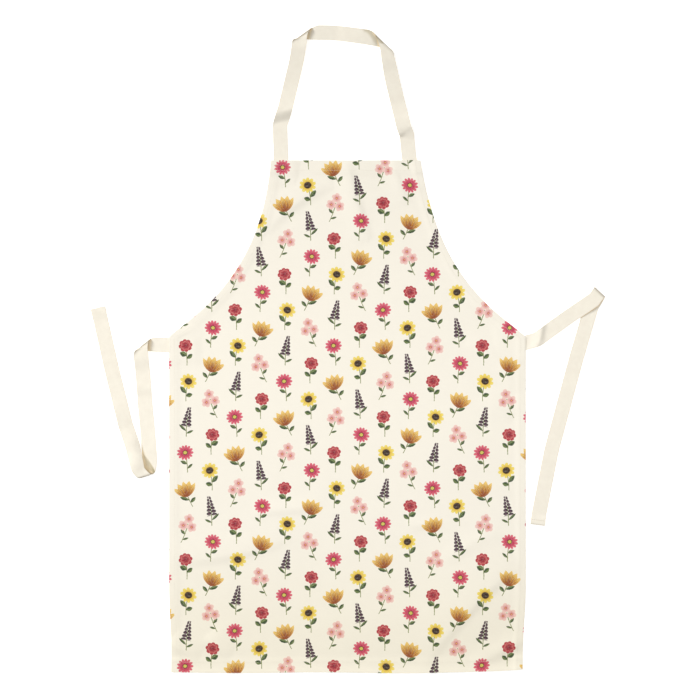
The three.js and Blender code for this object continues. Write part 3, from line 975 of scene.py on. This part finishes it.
class TapeLine:
    """The two edges of a tape as it is laid along its route, with the length gone along each."""

    def __init__(self, route):
        self.edges = []
        self.gone = []
        self.buckles = []
        self.folds = []
        self.face = 1
        self.last_turn = 0.0
        starts = [np.array((*row["at"], 0.0)) * MM for row in route]
        ends = [np.array((*row.get("to", row["at"]), 0.0)) * MM for row in route]
        runs = [heading(end, start) for end, start in zip(ends, starts[1:])]
        self.add(self.section(starts[0], runs[0], route[0]["lift"]))
        for index, row in enumerate(route[1:-1], 1):
            step = self.turn if "turn" in row else self.bend
            step(row, starts[index], ends[index], runs[index - 1], runs[index])
        self.add(self.section(starts[-1], runs[-1], route[-1]["lift"]))

    def section(self, spot, run, lift, cup=1):
        """A line square across the tape, each edge at its height, and narrower where the tape is cupped."""
        left, right = np.broadcast_to(lift, 2) * MM
        side = self.face * np.cross(UP, run) * cup * math.sqrt(TAPE_WIDTH**2 - (left - right) ** 2) / 2
        middle = spot + UP * TAPE / 2
        return np.array((middle + side + UP * left, middle - side + UP * right))

    def add(self, pair, squared=True):
        gone = np.zeros(2)
        if self.edges:
            gone = self.gone[-1] + np.linalg.norm(pair - self.edges[-1], axis=1)
        self.edges.append(pair)
        self.gone.append(np.full(2, gone.mean()) if squared else gone)

    def bend(self, row, spot, end, before, after):
        """A soft bend in the plane of the tape."""
        start = self.gone[-1].mean() + np.linalg.norm(self.edges[-1].mean(axis=0)[:2] - spot[:2])
        reach = row.get("reach", BEND_REACH) * MM
        for share in np.linspace(0, 1, BEND_STEPS):
            run = before * (1 - share) + after * share
            place = spot + reach * (share**2 * after - (1 - share) ** 2 * before)
            self.add(self.section(place, run / np.linalg.norm(run), row["lift"]))
        if "buckle" in row:
            self.buckles.append(dict(row["buckle"], place=start + row["buckle"]["past"] * MM))

    def turn(self, row, spot, end, before, after):
        """A fold, with the edge of the upper length above that of the lower."""
        first, second = (row["rise"], 0) if row["turn"] == "under" else (0, row["rise"])
        self.add(self.section(spot - before * FOLD_MARGIN, before, first))
        start = self.section(spot, before, first)
        self.face = -self.face
        cup = row.get("cup", 1)
        stop = self.section(end, after, second, cup)
        pulls = start + before * FOLD_MARGIN / 2
        if "pulls" in row:
            pulls[:, :2] = np.array(row["pulls"]) * MM
        corner = row.get("corner", CORNER) * MM
        for pair in (start, stop):
            away = (pair - pulls)[0, :2]
            pair[0, :2] = pulls[0, :2] + away * min(1, corner / np.linalg.norm(away))
        out, back = (pulls - start) @ (before - after), (pulls - stop) @ (before - after)
        crest = np.clip(out / (out + back), *CREST_RANGE)
        share = np.linspace(0, 1, TURN_STEPS)
        curves = np.array([bowed(*points, share) for points in zip(start, pulls, stop)])
        fall = ease((share - crest[:, None]) * row.get("snap", SNAP) + 0.5)
        curves[..., 2] = start[:, 2:] + (stop - start)[:, 2:] * fall
        for pair in curves.transpose(1, 0, 2):
            self.add(pair, squared=False)
        self.last_turn = self.gone[-TURN_STEPS // 2].mean()
        share = np.linspace(0, 1, 5 * TURN_STEPS)
        left, right = (bowed(*points, share)[:, None] for points in zip(start, pulls, stop))
        skin = (left + (right - left) * np.linspace(0, 1, 2 * RIM_BINS)[None, :, None]).reshape(-1, 3)
        out = (before - after) / np.linalg.norm(before - after)
        self.folds.append(dict(row, skin=skin, out=out, place=self.last_turn))
        self.add(self.section(end + after * FOLD_MARGIN, after, second, cup))

    def filled(self):
        """The edges and lengths, with more set between those that lie far apart."""
        edges, gone = [self.edges[0]], [self.gone[0]]
        for index in range(1, len(self.edges)):
            back, ahead = self.edges[index - 1], self.edges[index]
            gap = np.linalg.norm(ahead - back, axis=1).max()
            count = max(1, round(gap / TAPE_STEP))
            for share in np.arange(1, count + 1) / count:
                mixed = back * (1 - share) + ahead * share
                mixed[:, 2] = back[:, 2] + (ahead - back)[:, 2] * ease(share)
                edges.append(mixed)
                gone.append(self.gone[index - 1] * (1 - share) + self.gone[index] * share)
        return np.array(edges), np.array(gone)

    def across_at(self, length):
        """The two edges at a length along the tape."""
        edges, gone = self.filled()
        middle = gone.mean(axis=1)
        parts = edges.reshape(len(edges), -1).T
        return np.array([np.interp(length, middle, part) for part in parts]).reshape(2, 3)


def fold_marks(folds, points, along, across):
    """How strongly each vertex gets painted shade: a brown rim along each fold's edge, and a hollow inside
    it.
    """
    rim, hollow = np.zeros_like(along), np.zeros_like(along)
    for fold in folds:
        side = np.cross(UP, fold["out"])
        aside = fold["skin"] @ side
        stations = np.linspace(aside.min(), aside.max(), RIM_BINS)
        edge = np.full(RIM_BINS, -np.inf)
        np.maximum.at(edge, abs(aside[:, None] - stations).argmin(axis=1), fold["skin"] @ fold["out"])
        inside = np.interp(points @ side, stations, edge) - points @ fold["out"]
        # The rim is a painted shade line along the fold's edge, on the upper layer only.
        upper = points[..., 2] > TAPE / 2 + fold.get("rim_from", RIM_FROM) * min(fold["rise"]) * MM
        near = upper & (abs(along - fold["place"]) < RIM_REACH)
        share = (points @ side - stations[0]) / (stations[-1] - stations[0])
        first, last = fold.get("rim_span", (-1, 2))
        span = ease((share - first) / RIM_FADE) * ease((last - share) / RIM_FADE)
        strength, width = fold["rim"]
        rim = np.maximum(rim, strength * span * near * np.exp(-((inside / (width * MM)) ** 2)))
        # Painted shade on the lower length inside the fold, strongest near the fold's edge.
        strength, left, right = fold.get("hollow", (0, 0, 0))
        depth = (left + right + (left - right) * across) / 2 * MM
        below = along < fold["place"] if fold["turn"] == "over" else along > fold["place"]
        strength = strength * (1 + np.exp(-((inside / CREASE_REACH) ** 2)))
        hollow = np.maximum(hollow, strength * below * ease((depth - inside) / HOLLOW_EDGE))
    return {"rim": rim, "hollow": hollow}


def tape_points(line):
    """Where each vertex of a tape lies, its place on the flat tape, and how strongly painted shade marks it
    at its folds.
    """
    edges, gone = line.filled()
    across = np.linspace(1, -1, TAPE_COLUMNS)[None, :]
    middle, reach = edges.mean(axis=1), (edges[:, 0] - edges[:, 1]) / 2
    points = middle[:, None] + across[..., None] * reach[:, None]
    along = gone.mean(axis=1)[:, None] + across * (gone[:, :1] - gone[:, 1:]) / 2
    for buckle in line.buckles:
        off = along - buckle["place"] - across * buckle["slant"] * MM
        width = np.where(off < 0, buckle["before"], buckle["after"]) * MM
        fall = np.minimum(1, abs(off) / width) ** buckle["round"]
        left, right = buckle["rise"]
        rise = (left + right + (left - right) * across) / 2
        crown = 1 - buckle.get("crown", 0) * across**2
        points[..., 2] += rise * MM * (1 - fall) ** buckle["soft"] * crown
    for index in np.ndindex(along.shape):
        aside = across[0, index[1]] * RIPPLE_ACROSS
        place = Vector((along[index] / RIPPLE_PITCH, aside, line.last_turn * RIPPLE_SLICE))
        points[index][2] += RIPPLE * (noise.noise(place) + RIPPLE_MEAN)
    flat = np.stack([along, across * TAPE_WIDTH / 2 + 0 * along], axis=-1)
    return points + (MIDDLE, FOOT, 0), flat, fold_marks(line.folds, points, along, across)


def shelter(points):
    """How far each vertex of a tape is roofed over by the rest: 0 in the open and 1 deep inside a fold."""
    rows, columns = points.shape[:2]
    corner = np.arange(rows * columns).reshape(rows, columns)
    cells = np.stack([corner[:-1, :-1], corner[:-1, 1:], corner[1:, 1:], corner[1:, :-1]], axis=-1)
    tree = BVHTree.FromPolygons(points.reshape(-1, 3).tolist(), cells.reshape(-1, 4).tolist())
    rays = []
    for ring, count in ROOF_RINGS:
        for angle in np.arange(count) * (2 * math.pi / count) + ring:
            rays.append(Vector((ring * math.cos(angle), ring * math.sin(angle), math.sqrt(1 - ring**2))))
    roofed = np.zeros(rows * columns)
    for index, place in enumerate(points.reshape(-1, 3)):
        start = Vector(place) + Vector((0, 0, TAPE))
        roofed[index] = sum(tree.ray_cast(start, ray, ROOF_REACH)[0] is not None for ray in rays) / len(rays)
    return roofed.reshape(rows, columns)


def tape_finish():
    """Matt cotton twill with firmer edges, slightly uneven in tone, with painted shade inside and along its
    folds.
    """
    finish = bpy.data.materials.new("cotton_tape")
    finish.use_nodes = True
    tree = finish.node_tree
    surface = tree.nodes["Principled BSDF"]
    cut = Shade(tree).node("ShaderNodeUVMap", {"uv_map": "cut"})
    split = cut.node("ShaderNodeSeparateXYZ", None, {0: cut}).socket.node
    along = Shade(tree, split.outputs[0]) * 1000
    across = Shade(tree, split.outputs[1]) * 1000
    twill = ((along * 1.1 + abs(across) * 1.1) * (2 * math.pi)).math("SINE")
    rib = (along * (2 * math.pi / 0.55)).math("SINE")
    cloud = cut.node("ShaderNodeTexNoise", None, {"Vector": cut, "Scale": 90.0, "Detail": 3.0})
    tone = cloud.rise(0.2, 0.8).mix(*TAPE_CREAM)
    selvage = (abs(across) - SELVAGE_FROM).rise(0.0, 0.5)
    tone = (selvage * 0.35).mix(tone, SELVAGE_TONE)
    # Painted shade: the tape turns tan, then deep brown, the more other tape roofs it over inside a fold.
    roofed = cut.node("ShaderNodeAttribute", {"attribute_name": "shelter"}, None, 2)
    under = roofed.rise(0.04, 0.36)
    tone = roofed.rise(0.45, 0.9).mix(under.mix(tone, FOLD_SHADE_TAN), FOLD_SHADE_DEEP)
    # Painted shade: an olive hollow on the lower length inside a fold, and a brown rim line along each fold's
    # edge.
    rim = cut.node("ShaderNodeAttribute", {"attribute_name": "rim"}, None, 2)
    hollow = cut.node("ShaderNodeAttribute", {"attribute_name": "hollow"}, None, 2)
    tone = (hollow * (1 - under * 0.8)).mix(tone, HOLLOW_SHADE_OLIVE)
    tone = rim.mix(tone, RIM_SHADE_BROWN)
    tree.links.new(tone.socket, surface.inputs["Base Color"])
    height = twill * 0.5 + rib * 0.25 + cloud * 0.6
    bump = height.node("ShaderNodeBump", None, {"Strength": 0.2, "Distance": 0.0004, "Height": height})
    tree.links.new(bump.socket, surface.inputs["Normal"])
    surface.inputs["Roughness"].default_value = 0.93
    surface.inputs["Specular IOR Level"].default_value = 0.2
    surface.inputs["Sheen Weight"].default_value = 0.08
    surface.inputs["Sheen Roughness"].default_value = 0.5
    return finish


COTTON_TAPE = tape_finish()


def lay_tape(name, route, node):
    """One length of tape, in place of its solid."""
    line = TapeLine(route)
    points, flat, marks = tape_points(line)
    strip = cloth_grid(name, points.shape[1], points.shape[0])
    lay_out(strip, points, flat, dict(marks, shelter=shelter(points)))
    strip.data.materials.append(COTTON_TAPE)
    apply_modifier(strip, "SOLIDIFY", thickness=TAPE, offset=0)
    smooth(strip, degrees=50)
    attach(strip, "root")
    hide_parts(node)
    return strip, line


# A darker tan thread, whose dark tone is painted shade along the right tie's stitched end.
SHADED_TAN_THREAD = thread_finish("shaded_tan_thread", THREAD_SHADE_TAN)


def end_stitches(name, line, thread):
    """The row of stitches that holds a tape's turned end."""
    left, right = line.across_at(line.last_turn - END_ROW_INSET) + (MIDDLE, FOOT, TAPE / 2 + RIPPLE)
    row = left + (right - left) * np.linspace(*END_ROW_SPAN, END_ROW_STOPS)[:, None]
    stitches = sew(name, [row], thread)
    return stitches


neck_tape, neck_line = lay_tape("neck_tape", NECK_ROUTE, "neck_strap")
left_tape, left_line = lay_tape("left_tie_tape", LEFT_ROUTE, "tie_left")
end_stitches("left_tie_stitches", left_line, CREAM_THREAD)
right_tape, right_line = lay_tape("right_tie_tape", RIGHT_ROUTE, "tie_right")
end_stitches("right_tie_stitches", right_line, SHADED_TAN_THREAD)
